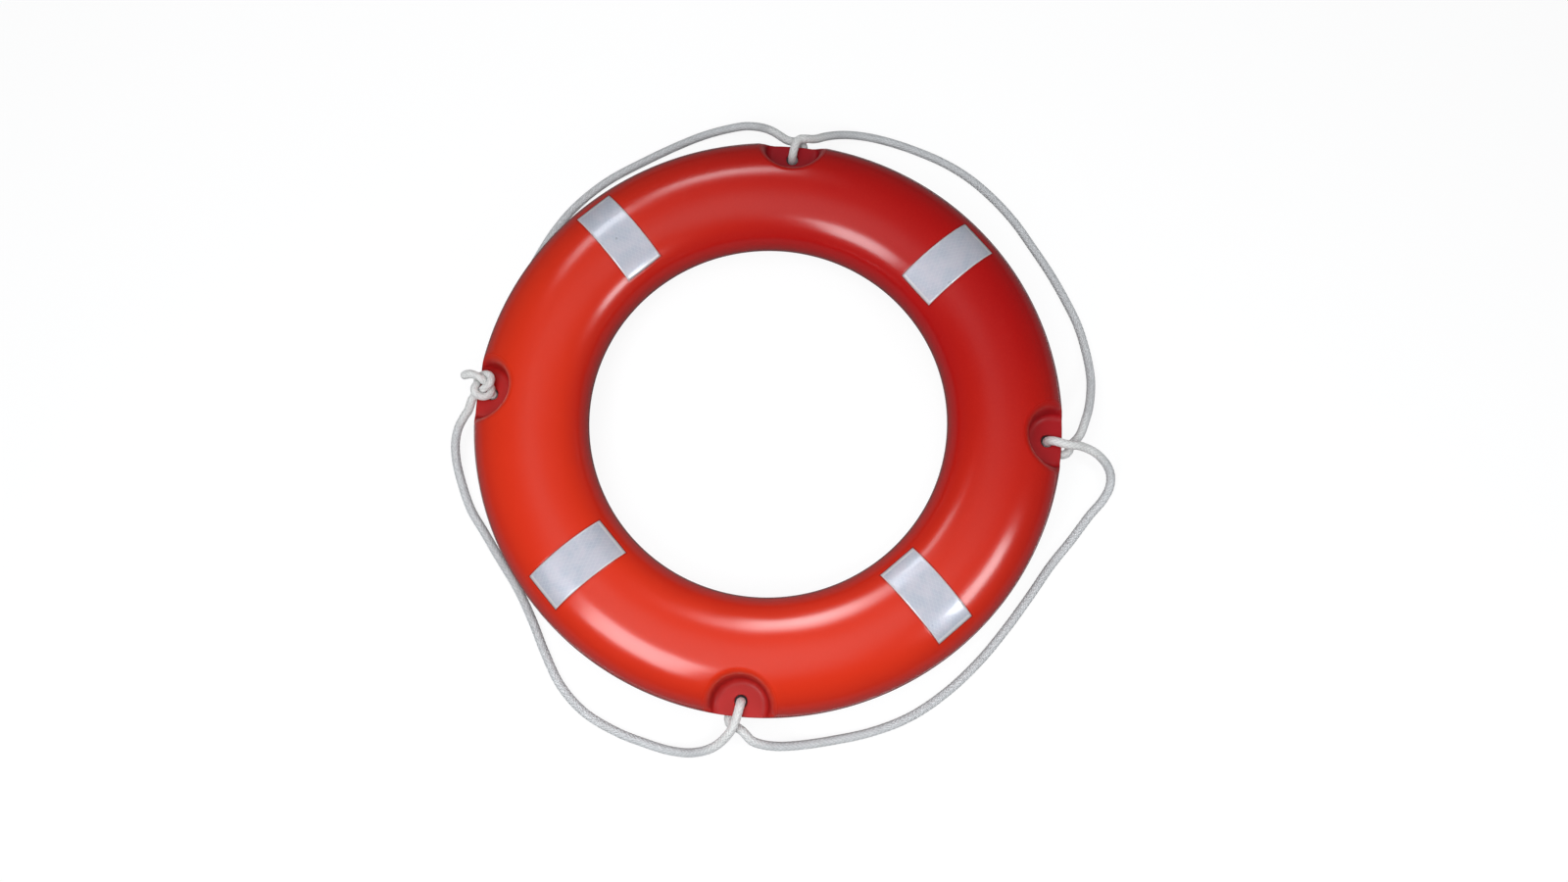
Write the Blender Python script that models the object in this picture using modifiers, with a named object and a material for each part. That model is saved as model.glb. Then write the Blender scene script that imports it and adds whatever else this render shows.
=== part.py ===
# Life ring: a hollow moulded ring filled with foam, four rope notches with a thin web and an eye in each,
# reflective tape patches on both faces, and a grab line reeved round the ring and tied at the left notch.
# Metres, +Z up. The ring lies flat on z = 0, centred on the origin.

import bisect
import math

import bmesh
import bpy
from mathutils import Matrix, Vector

# Driving dimensions of the moulding
OUTER_DIAMETER = 0.720
INNER_DIAMETER = 0.440
HEIGHT = 0.108
LAND_DEPTH = 0.0005
WALL = 0.0025
GAP = 0.0003
FOAM_EASE = 0.0030

# Rope notches, cut from both faces down to the web at mid height
NOTCH_ANGLES = (0, 90, 180, 270)
NOTCH_SET_BACK = 0.011
NOTCH_WEB_RADIUS = 0.0325
NOTCH_FACE_RADIUS = 0.0385
WEB_THICKNESS = 0.005
EYE_DIAMETER = 0.015
EYE_SET_BACK = 0.018

# Reflective tape, let into shallow recesses in both faces
TAPE_ANGLES = (45, 135, 225, 315)
TAPE_WIDTH = 0.050
TAPE_INNER_REACH = 0.0537
TAPE_OUTER_REACH = 0.0494
TAPE_THICKNESS = 0.0004
TAPE_SINK = 0.0001
TAPE_EDGE_CLEARANCE = 0.0004

# Ports in the back face for filling and venting the foam, each closed by a plug
FILL_PORT = {"angle": 22.5, "diameter": 0.0160}
VENT_PORT = {"angle": 202.5, "diameter": 0.0090}
PLUG_CLEARANCE = 0.0003
PLUG_DEPTH = 0.0060
PLUG_CHAMFER = 0.0008

# Grab line
ROPE_DIAMETER = 0.0110
ROPE_SQUEEZE = 0.86
ROPE_TAPER = 0.012
FREE_SPACING = 0.019
TIED_SPACING = 0.0040
FACE_LENGTH = 0.0010
ROUTE_DIVISIONS = 14
KNOT_RING_RADIUS = 0.0109
KNOT_SWING = 0.0049
KNOT_LIFT = 0.0052
KNOT_OPENING = 0.62
KNOT_POINTS = 34
KNOT_SET_BACK = 0.0060
KNOT_OFFSET = 0.0075

# Facets
RING_STEPS = 72
SKIN_SIDE_FACES = 14
CORE_SIDE_FACES = 9
NOTCH_STEPS = 36
HOLE_STEPS = 16
TAPE_LENGTH_FACES = 10
TAPE_WIDTH_FACES = 2
ROPE_BEVEL_RESOLUTION = 2

OUTER_RADIUS = OUTER_DIAMETER / 2
INNER_RADIUS = INNER_DIAMETER / 2
CROWN_RADIUS = (OUTER_RADIUS + INNER_RADIUS) / 2
BAND_HALF_WIDTH = (OUTER_RADIUS - INNER_RADIUS) / 2
MID_HEIGHT = HEIGHT / 2
CURVE_HALF_HEIGHT = MID_HEIGHT + LAND_DEPTH
NOTCH_RADIUS = OUTER_RADIUS - NOTCH_SET_BACK
EYE_RADIUS = OUTER_RADIUS - EYE_SET_BACK
ROPE_RADIUS = ROPE_DIAMETER / 2
RECESS_DEPTH = TAPE_SINK + TAPE_THICKNESS + GAP
GROUND_LEVEL = ROPE_RADIUS + GAP
MM = 0.001

# The turn of rope at each notch. Each point is millimetres along the outline (anticlockwise), outside the
# outline and above the web's middle. The rope comes in under its own strand, turns in beneath the web, and goes
# up through the eye and out over the web.
HITCH_TURN = [
    (-2, 12.4, -8.6), (-7.2, 11, -8.2), (-11.4, 7.8, -8.2), (-13, 3, -8.9), (-11.8, -2, -9.9), (-8.8, -7, -10.8),
    (-4.8, -11.4, -10.6), (-1.5, -15.2, -8.1), (0, -17.2, -4), (0, -17.4, 0), (0, -17, 3.8), (-0.3, -14.6, 7.6),
    (-1, -10, 9.6), (-1.9, -4.6, 9.8), (-3, 0.8, 9.4),
]
TOWARDS_TURN = {
    90: [(16.6, 18.6, -11.2), (10.4, 14.6, -10), (4, 12.6, -9)],
    0: [(16.4, 25.4, -12), (10.4, 21.8, -10.8), (4, 16.6, -9.4)],
    270: [(15.5, 25.5, -13.2), (9.5, 20.3, -11.2), (3.8, 15.5, -9.4)],
}
AWAY_FROM_TURN = {
    90: [(-5, 5.6, 8.6), (-8.8, 9.2, 7), (-14.4, 11, 4.6)],
    0: [(-3.6, 6.8, 8.6), (-3.4, 13, 6.8), (-2.8, 19.2, 4.4)],
    270: [(-4.3, 6.2, 8.6), (-6, 11.4, 6.8), (-8.8, 17, 4.6)],
}

# The end of the rope that comes up through the left eye and ends under the knot
EYE_STRAND = [(0, -18, 2.4), (0, -18, -2), (-0.6, -17.6, -8), (-2.6, -15.8, -14.5), (-6.5, -13, -22)]

# The free stretches. Each point is degrees anticlockwise from +X, millimetres outside the outline, and the
# lift, which is 0 on the ground and 1 at the web.
UPPER_LEFT_ROUTE = [
    (178.0, -8.5, 0.40), (176.2, -5.5, 0.20), (173.5, -3, 0.06), (169.5, -1, 0), (164.5, 2, 0), (158.5, 7, 0),
    (152.5, 13.5, 0), (147.0, 20, 0), (141.5, 27, 0), (135.5, 33, 0), (128.0, 37, 0), (120.0, 38.5, 0),
    (112.3, 44, 0), (107.1, 49, 0.01), (103.0, 50, 0.10), (99.7, 48, 0.25), (96.8, 40, 0.47), (94.4, 28, 0.72),
]
UPPER_RIGHT_ROUTE = [
    (85.8, 18.5, 0.86), (84.2, 28.5, 0.66), (81.9, 40.5, 0.40), (79.4, 50.5, 0.16), (76.1, 57.5, 0.02),
    (71.7, 61, 0), (66.9, 64, 0), (62.0, 67, 0), (56.8, 68, 0), (50.9, 66, 0), (45.4, 63, 0), (39.9, 59, 0),
    (34.4, 58, 0), (28.9, 58, 0), (23.4, 59, 0), (18.0, 57, 0.03), (13.8, 53.3, 0.15), (10.4, 47, 0.33),
    (7.4, 40, 0.50), (4.9, 32.6, 0.67),
]
LOWER_RIGHT_ROUTE = [
    (-0.5, 29.5, 0.97), (-0.9, 41, 0.86), (-1.6, 53, 0.68), (-2.6, 64, 0.45), (-3.9, 71, 0.24), (-5.6, 72.5, 0.10),
    (-7.9, 67, 0.03), (-10.9, 55.5, 0.01), (-16.0, 42.5, 0), (-21.6, 31, 0), (-28.9, 26, 0), (-36.6, 26, 0),
    (-44.0, 29.5, 0), (-51.7, 34, 0), (-59.4, 37.5, 0), (-66.6, 36.5, 0), (-73.4, 34, 0.04), (-78.8, 33.5, 0.17),
    (-83.0, 33, 0.38), (-86.0, 30, 0.60),
]
LOWER_LEFT_ROUTE = [
    (-92.8, 30.5, 0.88), (-94.4, 40, 0.70), (-96.5, 47.5, 0.45), (-98.9, 52.5, 0.18), (-102.2, 55.5, 0.02),
    (-106.1, 56.5, 0), (-110.6, 58, 0), (-117.1, 57, 0), (-123.0, 48, 0), (-128.9, 32, 0), (-134.8, 18, 0),
    (-141.4, 10.5, 0), (-147.9, 12.5, 0), (-154.1, 18.5, 0), (-159.2, 27, 0), (-164.7, 32, 0.06),
    (-168.3, 33.7, 0.21), (-171.3, 31.8, 0.40), (-173.7, 25.5, 0.62), (-175.6, 15.8, 0.84),
]

# Into and out of the knot at the left notch, in the same measures as the turn at a notch
KNOT_LEAD_IN = [(22, 9.6, -3.4), (15, 6.4, 2.4), (8.4, 3.2, 7.2)]
KNOT_TAIL = [(-19, 4.4, 16.4), (-19.6, 10, 14.6), (-18.8, 15, 12.2), (-17.2, 19.6, 9.4)]


def clear_scene():
    for thing in list(bpy.data.objects):
        bpy.data.objects.remove(thing, do_unlink=True)


def new_collection(name, parent):
    collection = bpy.data.collections.new(name)
    parent.children.link(collection)
    return collection


def plain_material(name, colour, roughness, metallic=0.0):
    material = bpy.data.materials.new(name)
    material.use_nodes = True
    shader = material.node_tree.nodes["Principled BSDF"]
    shader.inputs["Base Color"].default_value = (*colour, 1.0)
    shader.inputs["Roughness"].default_value = roughness
    shader.inputs["Metallic"].default_value = metallic
    material.diffuse_color = (*colour, 1.0)
    return material


def add_object(name, data, collection):
    thing = bpy.data.objects.new(name, data)
    collection.objects.link(thing)
    return thing


def add_part(name, data, material):
    part = add_object(name, data, parts)
    if not data.materials:
        data.materials.append(material)
    return part


def add_cutter(name, data, collection):
    cutter = add_object(name, data, collection)
    cutter.hide_render = True
    cutter.display_type = "WIRE"
    return cutter


def mesh_from_bmesh(name, bm):
    mesh = bpy.data.meshes.new(name)
    bm.to_mesh(mesh)
    bm.free()
    return mesh


def turn_on_ring(angle, radius, height=0.0):
    """Placement that stands at a radius from the ring's axis, with its own +X pointing outwards."""
    return Matrix.Rotation(math.radians(angle), 4, "Z") @ Matrix.Translation((radius, 0, height))


def section_height(radius, inset):
    """Half height of the ring's section at a radius, for a skin set in from the outside by inset."""
    across = min(abs(radius - CROWN_RADIUS) / (BAND_HALF_WIDTH - inset), 1.0)
    curved = (CURVE_HALF_HEIGHT - inset) * math.sqrt(1.0 - across * across)
    return min(curved, MID_HEIGHT - inset)


def section_profile(inset, side_faces):
    """Closed outline of the section, down its outer side and up its inner side, with a flat land at each face."""
    half_width = BAND_HALF_WIDTH - inset
    half_height = CURVE_HALF_HEIGHT - inset
    land_angle = math.asin((MID_HEIGHT - inset) / half_height)
    outer_side = [land_angle - 2 * land_angle * step / side_faces for step in range(side_faces + 1)]
    points = [(CROWN_RADIUS + half_width * math.cos(a), half_height * math.sin(a)) for a in outer_side]
    points += [(2 * CROWN_RADIUS - radius, height) for radius, height in reversed(points)]
    return points


def profile_mesh(name, outlines, closed):
    bm = bmesh.new()
    for outline in outlines:
        corners = [bm.verts.new((radius, 0, height)) for radius, height in outline]
        for first, second in zip(corners, corners[1:]):
            bm.edges.new((first, second))
        if closed:
            bm.edges.new((corners[-1], corners[0]))
    return mesh_from_bmesh(name, bm)


def add_screw(thing, steps):
    screw = thing.modifiers.new("Turn", "SCREW")
    screw.angle = math.tau
    screw.steps = steps
    screw.render_steps = steps
    screw.use_merge_vertices = True
    screw.merge_threshold = 0.00001
    screw.use_smooth_shade = True


def add_cut(thing, group):
    """Cut away everything in a collection of cutters."""
    cut = thing.modifiers.new("Cut", "BOOLEAN")
    cut.operation = "DIFFERENCE"
    cut.solver = "EXACT"
    cut.operand_type = "COLLECTION"
    cut.collection = group


def notch_outlines(grow, half_gap):
    """Half outlines of a notch cutter: two drafted pockets, or one waisted core where half_gap is 0."""
    draft = (NOTCH_FACE_RADIUS - NOTCH_WEB_RADIUS) / MID_HEIGHT
    top = HEIGHT
    end_radius = NOTCH_WEB_RADIUS + grow + draft * top
    web_radius = NOTCH_WEB_RADIUS + grow + draft * half_gap
    if half_gap == 0:
        return [[(0, top), (end_radius, top), (web_radius, 0), (end_radius, -top), (0, -top)]]
    return [
        [(0, top), (end_radius, top), (web_radius, half_gap), (0, half_gap)],
        [(0, -half_gap), (web_radius, -half_gap), (end_radius, -top), (0, -top)],
    ]


def notch_cutters(label, grow, half_gap):
    group = new_collection(label, cutters)
    mesh = profile_mesh(label, notch_outlines(grow, half_gap), closed=False)
    for index, angle in enumerate(NOTCH_ANGLES, start=1):
        cutter = add_cutter(f"{label}_{index}", mesh, group)
        cutter.matrix_world = turn_on_ring(angle, NOTCH_RADIUS, MID_HEIGHT)
        add_screw(cutter, NOTCH_STEPS)
    return group


def cylinder_mesh(name, radius, low, high):
    bm = bmesh.new()
    middle = Matrix.Translation((0, 0, (low + high) / 2))
    bmesh.ops.create_cone(
        bm, cap_ends=True, segments=HOLE_STEPS, radius1=radius, radius2=radius, depth=high - low, matrix=middle)
    return mesh_from_bmesh(name, bm)


def patch_mesh(name, half_width, end_margin, inset):
    """A rectangle of tape laid over the ring's upper face, with +X along the ring's radius."""
    start = math.acos(min((TAPE_OUTER_REACH + end_margin) / BAND_HALF_WIDTH, 1.0))
    finish = math.pi - math.acos(min((TAPE_INNER_REACH + end_margin) / BAND_HALF_WIDTH, 1.0))
    bm = bmesh.new()
    bmesh.ops.create_grid(bm, x_segments=TAPE_LENGTH_FACES, y_segments=TAPE_WIDTH_FACES, size=1)
    for vert in bm.verts:
        lean = start + (finish - start) * (1 - vert.co.x) / 2
        along = CROWN_RADIUS + (BAND_HALF_WIDTH - inset) * math.cos(lean)
        aside = half_width * vert.co.y
        vert.co = (along, aside, section_height(math.hypot(along, aside), inset))
    return mesh_from_bmesh(name, bm)


def add_thickness(thing, thickness):
    wall = thing.modifiers.new("Thickness", "SOLIDIFY")
    wall.thickness = thickness
    wall.offset = 1.0
    wall.use_even_offset = True


def face_placement(angle, back):
    """Placement of a patch on the front face, or turned over on to the back face."""
    placement = Matrix.Translation((0, 0, MID_HEIGHT)) @ Matrix.Rotation(math.radians(angle), 4, "Z")
    if back:
        placement = placement @ Matrix.Rotation(math.pi, 4, "X")
    return placement


def tape_faces():
    for face in ("front", "back"):
        for index, angle in enumerate(TAPE_ANGLES, start=1):
            yield f"{face}_{index}", face_placement(angle, face == "back")


def recess_cutters():
    group = new_collection("tape_recess", cutters)
    half_width = TAPE_WIDTH / 2 + TAPE_EDGE_CLEARANCE
    mesh = patch_mesh("tape_recess", half_width, TAPE_EDGE_CLEARANCE, RECESS_DEPTH)
    for label, placement in tape_faces():
        cutter = add_cutter(f"tape_recess_{label}", mesh, group)
        cutter.matrix_world = placement
        add_thickness(cutter, RECESS_DEPTH + WALL)
    return group


def eye_cutters():
    group = new_collection("rope_eye", cutters)
    mesh = cylinder_mesh("rope_eye", EYE_DIAMETER / 2, -WEB_THICKNESS, WEB_THICKNESS)
    for index, angle in enumerate(NOTCH_ANGLES, start=1):
        cutter = add_cutter(f"rope_eye_{index}", mesh, group)
        cutter.matrix_world = turn_on_ring(angle, EYE_RADIUS, MID_HEIGHT)
    return group


def port_cutters(label, grow, low, high):
    group = new_collection(label, cutters)
    for name, port in (("fill", FILL_PORT), ("vent", VENT_PORT)):
        mesh = cylinder_mesh(f"{label}_{name}", port["diameter"] / 2 + grow, low, high)
        cutter = add_cutter(f"{label}_{name}", mesh, group)
        cutter.matrix_world = turn_on_ring(port["angle"], CROWN_RADIUS)
    return group


def ring_body(name, inset, side_faces, collection):
    """The plain turned ring, set in from the outside by inset."""
    mesh = profile_mesh(name, [section_profile(inset, side_faces)], closed=True)
    body = add_object(name, mesh, collection)
    body.location.z = MID_HEIGHT
    add_screw(body, RING_STEPS)
    return body


def build_shell():
    """The moulded skin: the ring with its pockets, webs, eyes and tape recesses, hollow inside."""
    hollow_group = new_collection("hollow", cutters)
    hollow = ring_body("hollow", WALL, CORE_SIDE_FACES, hollow_group)
    hollow.hide_render = True
    hollow.display_type = "WIRE"
    add_cut(hollow, notch_cutters("notch_hollow", WALL, 0))
    shell = ring_body("shell", 0, SKIN_SIDE_FACES, parts)
    shell.data.materials.append(plain_material("orange_hdpe", (0.78, 0.055, 0.03), 0.32))
    add_cut(shell, recess_cutters())
    add_cut(shell, notch_cutters("notch", 0, WEB_THICKNESS / 2))
    add_cut(shell, eye_cutters())
    add_cut(shell, hollow_group)
    add_cut(shell, port_cutters("port", 0, -WALL, 2 * WALL))


def build_foam_core():
    """The buoyant foam that fills the shell, a little short of the notch walls."""
    inset = WALL + GAP
    core = ring_body("foam_core", inset, CORE_SIDE_FACES, parts)
    core.data.materials.append(plain_material("buoyant_foam", (0.86, 0.76, 0.48), 0.9))
    add_cut(core, notch_cutters("notch_foam", inset + FOAM_EASE, 0))
    add_cut(core, port_cutters("port_foam", GAP, -WALL, PLUG_DEPTH + GAP))


def build_plug(name, port):
    """A push-in plug that closes a port, sunk just below the land that the ring rests on."""
    radius = port["diameter"] / 2 - PLUG_CLEARANCE
    low = PLUG_CLEARANCE
    outline = [
        (0, PLUG_DEPTH), (radius - PLUG_CHAMFER, PLUG_DEPTH), (radius, PLUG_DEPTH - PLUG_CHAMFER),
        (radius, low + PLUG_CHAMFER), (radius - PLUG_CHAMFER, low), (0, low),
    ]
    plug = add_part(name, profile_mesh(name, [outline], closed=False), plug_plastic)
    plug.matrix_world = turn_on_ring(port["angle"], CROWN_RADIUS)
    add_screw(plug, HOLE_STEPS)


def build_tapes():
    mesh = patch_mesh("reflective_tape", TAPE_WIDTH / 2, 0, TAPE_SINK + TAPE_THICKNESS)
    mesh.shade_smooth()
    for label, placement in tape_faces():
        tape = add_part(f"tape_{label}", mesh, tape_film)
        tape.matrix_world = placement
        add_thickness(tape, TAPE_THICKNESS)


def beside_notch(angle, points):
    """World points from millimetres along the outline, outside it and above the web's middle."""
    placement = turn_on_ring(angle, OUTER_RADIUS, MID_HEIGHT)
    return [placement @ Vector((outside * MM, along * MM, above * MM)) for along, outside, above in points]


def hitch_turn(angle):
    return beside_notch(angle, TOWARDS_TURN[angle] + HITCH_TURN + AWAY_FROM_TURN[angle])


def round_the_ring(points):
    """World points from degrees, millimetres outside the outline and lift."""
    return [
        turn_on_ring(angle, OUTER_RADIUS + outside * MM) @
        Vector((0, 0, GROUND_LEVEL + lift * (MID_HEIGHT - GROUND_LEVEL)))
        for angle, outside, lift in points
    ]


def knot_turns():
    """An overhand knot on the left web, opened on its outer side for the line and the tail."""
    height = MID_HEIGHT + WEB_THICKNESS / 2 + GAP + KNOT_LIFT + ROPE_RADIUS * ROPE_SQUEEZE
    centre = Vector((KNOT_SET_BACK - OUTER_RADIUS, KNOT_OFFSET, height))
    points = []
    for step in range(KNOT_POINTS):
        turn = KNOT_OPENING + (math.tau - 2 * KNOT_OPENING) * step / (KNOT_POINTS - 1)
        radius = KNOT_RING_RADIUS + KNOT_SWING * math.cos(3 * turn)
        angle = math.pi + 2 * turn
        offset = Vector((radius * math.cos(angle), radius * math.sin(angle), -KNOT_LIFT * math.sin(3 * turn)))
        points.append(centre + offset)
    return points


def spline_point(before, near, far, after, share):
    """Point on the centripetal curve between near and far."""
    at_near = math.sqrt((near - before).length)
    at_far = at_near + math.sqrt((far - near).length)
    at_after = at_far + math.sqrt((after - far).length)
    at = at_near + (at_far - at_near) * share
    first = before.lerp(near, at / at_near)
    second = near.lerp(far, share)
    third = far.lerp(after, (at - at_far) / (at_after - at_far))
    first_half = first.lerp(second, at / at_far)
    second_half = second.lerp(third, (at - at_near) / (at_after - at_near))
    return first_half.lerp(second_half, share)


class Route:
    """One smooth curve through the controls, kept off the ground, with the distance along it at each control."""

    def __init__(self, controls):
        ends = [2 * controls[0] - controls[1], *controls, 2 * controls[-1] - controls[-2]]
        self.points = []
        for corners in zip(ends, ends[1:], ends[2:], ends[3:]):
            for step in range(ROUTE_DIVISIONS):
                self.points.append(spline_point(*corners, step / ROUTE_DIVISIONS))
        self.points.append(controls[-1].copy())
        for point in self.points:
            point.z = max(point.z, GROUND_LEVEL)
        self.distances = [0.0]
        for near, far in zip(self.points, self.points[1:]):
            self.distances.append(self.distances[-1] + (far - near).length)
        self.at_control = self.distances[::ROUTE_DIVISIONS]

    def point(self, distance):
        index = min(max(bisect.bisect(self.distances, distance), 1), len(self.points) - 1)
        run = self.distances[index] - self.distances[index - 1]
        share = (distance - self.distances[index - 1]) / run
        return self.points[index - 1].lerp(self.points[index], share)

    def direction(self, distance):
        return (self.point(distance + GAP) - self.point(distance - GAP)).normalized()


def rope_scale(distance, tight):
    """Share of the rope's own radius: squeezed inside a tight stretch, and full away from it."""
    if tight is None:
        return 1.0
    outside = max(tight[0] - distance, distance - tight[1], 0.0)
    return ROPE_SQUEEZE + (1.0 - ROPE_SQUEEZE) * min(outside / ROPE_TAPER, 1.0)


def build_rope_piece(name, route, start, finish, spacing, tight):
    """A round tube along the route. Its end faces stand square to the route, half a gap short of each joint."""
    count = max(2, round((finish - start) / spacing))
    inner = [start + (finish - start) * step / count for step in range(1, count)]
    points = [(route.point(distance), distance) for distance in inner]
    for joint, way in ((start, 1), (finish, -1)):
        middle = route.point(joint)
        direction = way * route.direction(joint)
        ends = [(middle + direction * GAP / 2, joint), (middle + direction * FACE_LENGTH, joint)]
        points = ends + points if way == 1 else points + ends[::-1]
    curve = bpy.data.curves.new(name, "CURVE")
    curve.dimensions = "3D"
    curve.bevel_depth = ROPE_RADIUS
    curve.bevel_resolution = ROPE_BEVEL_RESOLUTION
    curve.use_fill_caps = True
    spline = curve.splines.new("POLY")
    spline.points.add(len(points) - 1)
    for corner, (point, distance) in zip(spline.points, points):
        corner.co = (*point, 1.0)
        corner.radius = rope_scale(distance, tight)
    add_part(name, curve, rope_fibre)


def grab_line_stretches():
    """Names and controls of the one rope, from its end in the left eye clockwise round the ring to its knot."""
    return [
        ("eye_strand", beside_notch(180, EYE_STRAND)),
        ("grab_line_upper_left", round_the_ring(UPPER_LEFT_ROUTE)),
        ("hitch_top", hitch_turn(90)),
        ("grab_line_upper_right", round_the_ring(UPPER_RIGHT_ROUTE)),
        ("hitch_right", hitch_turn(0)),
        ("grab_line_lower_right", round_the_ring(LOWER_RIGHT_ROUTE)),
        ("hitch_bottom", hitch_turn(270)),
        ("grab_line_lower_left", round_the_ring(LOWER_LEFT_ROUTE)),
        ("end_knot", beside_notch(180, KNOT_LEAD_IN) + knot_turns() + beside_notch(180, KNOT_TAIL)),
    ]


def build_grab_line():
    """Free stretches run from one tied stretch to the next. Only the knot is squeezed."""
    stretches = grab_line_stretches()
    route = Route([point for _, points in stretches for point in points])
    first = 0
    for name, points in stretches:
        last = first + len(points) - 1
        free = name.startswith("grab_line")
        start = route.at_control[first - 1 if free else first]
        finish = route.at_control[last + 1 if free else last]
        tight = None
        if name == "end_knot":
            tight = (route.at_control[first + len(KNOT_LEAD_IN)], route.at_control[last - len(KNOT_TAIL)])
        build_rope_piece(name, route, start, finish, FREE_SPACING if free else TIED_SPACING, tight)
        first = last + 1


clear_scene()
parts = new_collection("life_ring", bpy.context.scene.collection)
cutters = new_collection("cutters", bpy.context.scene.collection)
plug_plastic = plain_material("plug_plastic", (0.72, 0.05, 0.03), 0.45)
tape_film = plain_material("reflective_film", (0.62, 0.66, 0.72), 0.3, 0.35)
rope_fibre = plain_material("white_rope", (0.82, 0.82, 0.80), 0.85)

build_shell()
build_foam_core()
build_plug("fill_plug", FILL_PORT)
build_plug("vent_plug", VENT_PORT)
build_tapes()
build_grab_line()
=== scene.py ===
import bisect
import math

import bmesh
import bpy
import numpy as np
from mathutils import Matrix, Vector


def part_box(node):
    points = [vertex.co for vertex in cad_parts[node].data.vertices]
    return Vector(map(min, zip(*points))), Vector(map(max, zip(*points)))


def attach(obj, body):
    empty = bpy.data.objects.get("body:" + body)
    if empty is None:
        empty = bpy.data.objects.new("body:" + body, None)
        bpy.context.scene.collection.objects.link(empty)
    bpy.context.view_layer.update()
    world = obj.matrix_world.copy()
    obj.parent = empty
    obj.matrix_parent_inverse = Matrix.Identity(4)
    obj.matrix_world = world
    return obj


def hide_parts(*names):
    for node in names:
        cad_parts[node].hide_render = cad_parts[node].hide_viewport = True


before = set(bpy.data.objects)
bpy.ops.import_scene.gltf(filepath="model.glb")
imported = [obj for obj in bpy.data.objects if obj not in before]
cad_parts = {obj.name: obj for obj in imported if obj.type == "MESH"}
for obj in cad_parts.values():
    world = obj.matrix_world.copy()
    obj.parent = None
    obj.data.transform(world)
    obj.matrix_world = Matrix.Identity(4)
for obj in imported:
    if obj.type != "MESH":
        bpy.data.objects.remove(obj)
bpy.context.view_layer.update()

# A life ring: a moulded ring with four rope notches, reflective tape and one braided grab line

MM = 0.001

# The ring's own sizes, read from the frame
_, shell_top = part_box("shell")
OUTER_RADIUS = shell_top.x
HEIGHT = shell_top.z
MID_HEIGHT = HEIGHT / 2
BAND_HALF_WIDTH = 0.070
CROWN_RADIUS = OUTER_RADIUS - BAND_HALF_WIDTH

# Rope notches
NOTCH_RADIUS = OUTER_RADIUS - 0.011
NOTCH_WEB_RADIUS = 0.0325
NOTCH_FACE_RADIUS = 0.0385
WEB_THICKNESS = 0.005
EYE_RADIUS = OUTER_RADIUS - 0.018
EYE_BORE = 0.0075
FLOOR_FILLET = 0.0065
EYE_ROUND = 0.0010

# Rounding of a notch's rim from its web to the face, and the heights over which it changes
WEB_EDGE_ROUND = 0.0012
HORN_ROUND = 0.0095
FACE_RIM_ROUND = 0.0075
WEB_TO_HORN = (0.004, 0.016)
HORN_TO_FACE = (0.030, 0.050)

# Ports in the back face
FILL_PORT = {"angle": 22.5, "radius": 0.0080}
VENT_PORT = {"angle": 202.5, "radius": 0.0045}
PORT_DEPTH = 0.0030
PORT_ROUND = 0.0009
PLUG_CLEARANCE = 0.0003

# Reflective tape
TAPE_ANGLES = (45, 135, 225, 315)
TAPE_WIDTH = 0.050
TAPE_INNER_REACH = 0.0537
TAPE_OUTER_REACH = 0.0494
TAPE_THICKNESS = 0.00035
TAPE_BED = 0.00005
TAPE_BEND_RADIUS = 0.063
TAPE_BORDER = 0.0021
TAPE_BORDER_ARC = 0.78
TAPE_CELL = 0.0048
TAPE_CELL_SLOPE = 0.577

# Grab line
ROPE_RADIUS = 0.0055
ROPE_SQUEEZE = 0.86
ROPE_TAPER = 0.012
GROUND_LEVEL = ROPE_RADIUS + 0.0003
ROUTE_DIVISIONS = 14
ROPE_SIDES = 40
RING_SPACING = 0.00095
BRAID_STRANDS = 8
BRAID_PITCH = 0.0056
BRAID_RELIEF = 0.00045
SEALED_LENGTH = 0.0045
SEALED_TIP = 0.12
KNOT_RING_RADIUS = 0.0109
KNOT_SWING = 0.0049
KNOT_LIFT = 0.0052
KNOT_OPENING = 0.62
KNOT_POINTS = 34
KNOT_SET_BACK = 0.0060
KNOT_OFFSET = 0.0075

# Mesh steps of the ring, with its spans in degrees
SECTION_POINTS = 96
CUTTER_SIDES = 64
ARC_STEP = 1.0
JOINT_SPAN = 0.5
NOTCH_SPAN = 9.5
PORT_SPAN = 2.6
NOTCH_VOXEL = 0.0020
PORT_VOXEL = 0.0016
PORT_RIM_BANDS = (0.0028, 0.0016)
SMALLEST_EDGE = 0.0004

# The rope's route. At a notch: millimetres along the outline, outside it and above the web's middle
HITCH_TURN = [
    (-2, 12.4, -8.6), (-7.2, 11, -8.2), (-11.4, 7.8, -8.2), (-13, 3, -8.9), (-11.8, -2, -9.9),
    (-8.8, -7, -10.8), (-4.8, -11.4, -10.6), (-1.5, -15.2, -8.1), (0, -17.2, -4), (0, -17.4, 0),
    (0, -17, 3.8), (-0.3, -14.6, 7.6), (-1, -10, 9.6), (-1.9, -4.6, 9.8), (-3, 0.8, 9.4),
]
TOWARDS_TURN = {
    90: [(16.6, 18.6, -11.2), (10.4, 14.6, -10), (4, 12.6, -9)],
    0: [(16.4, 25.4, -12), (10.4, 21.8, -10.8), (4, 16.6, -9.4)],
    270: [(15.5, 25.5, -13.2), (9.5, 20.3, -11.2), (3.8, 15.5, -9.4)],
}
AWAY_FROM_TURN = {
    90: [(-5, 5.6, 8.6), (-8.8, 9.2, 7), (-14.4, 11, 4.6)],
    0: [(-3.6, 6.8, 8.6), (-3.4, 13, 6.8), (-2.8, 19.2, 4.4)],
    270: [(-4.3, 6.2, 8.6), (-6, 11.4, 6.8), (-8.8, 17, 4.6)],
}
EYE_STRAND = [(0, -18, 2.4), (0, -18, -2), (-0.6, -17.6, -8), (-2.6, -15.8, -14.5), (-6.5, -13, -22)]

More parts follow.
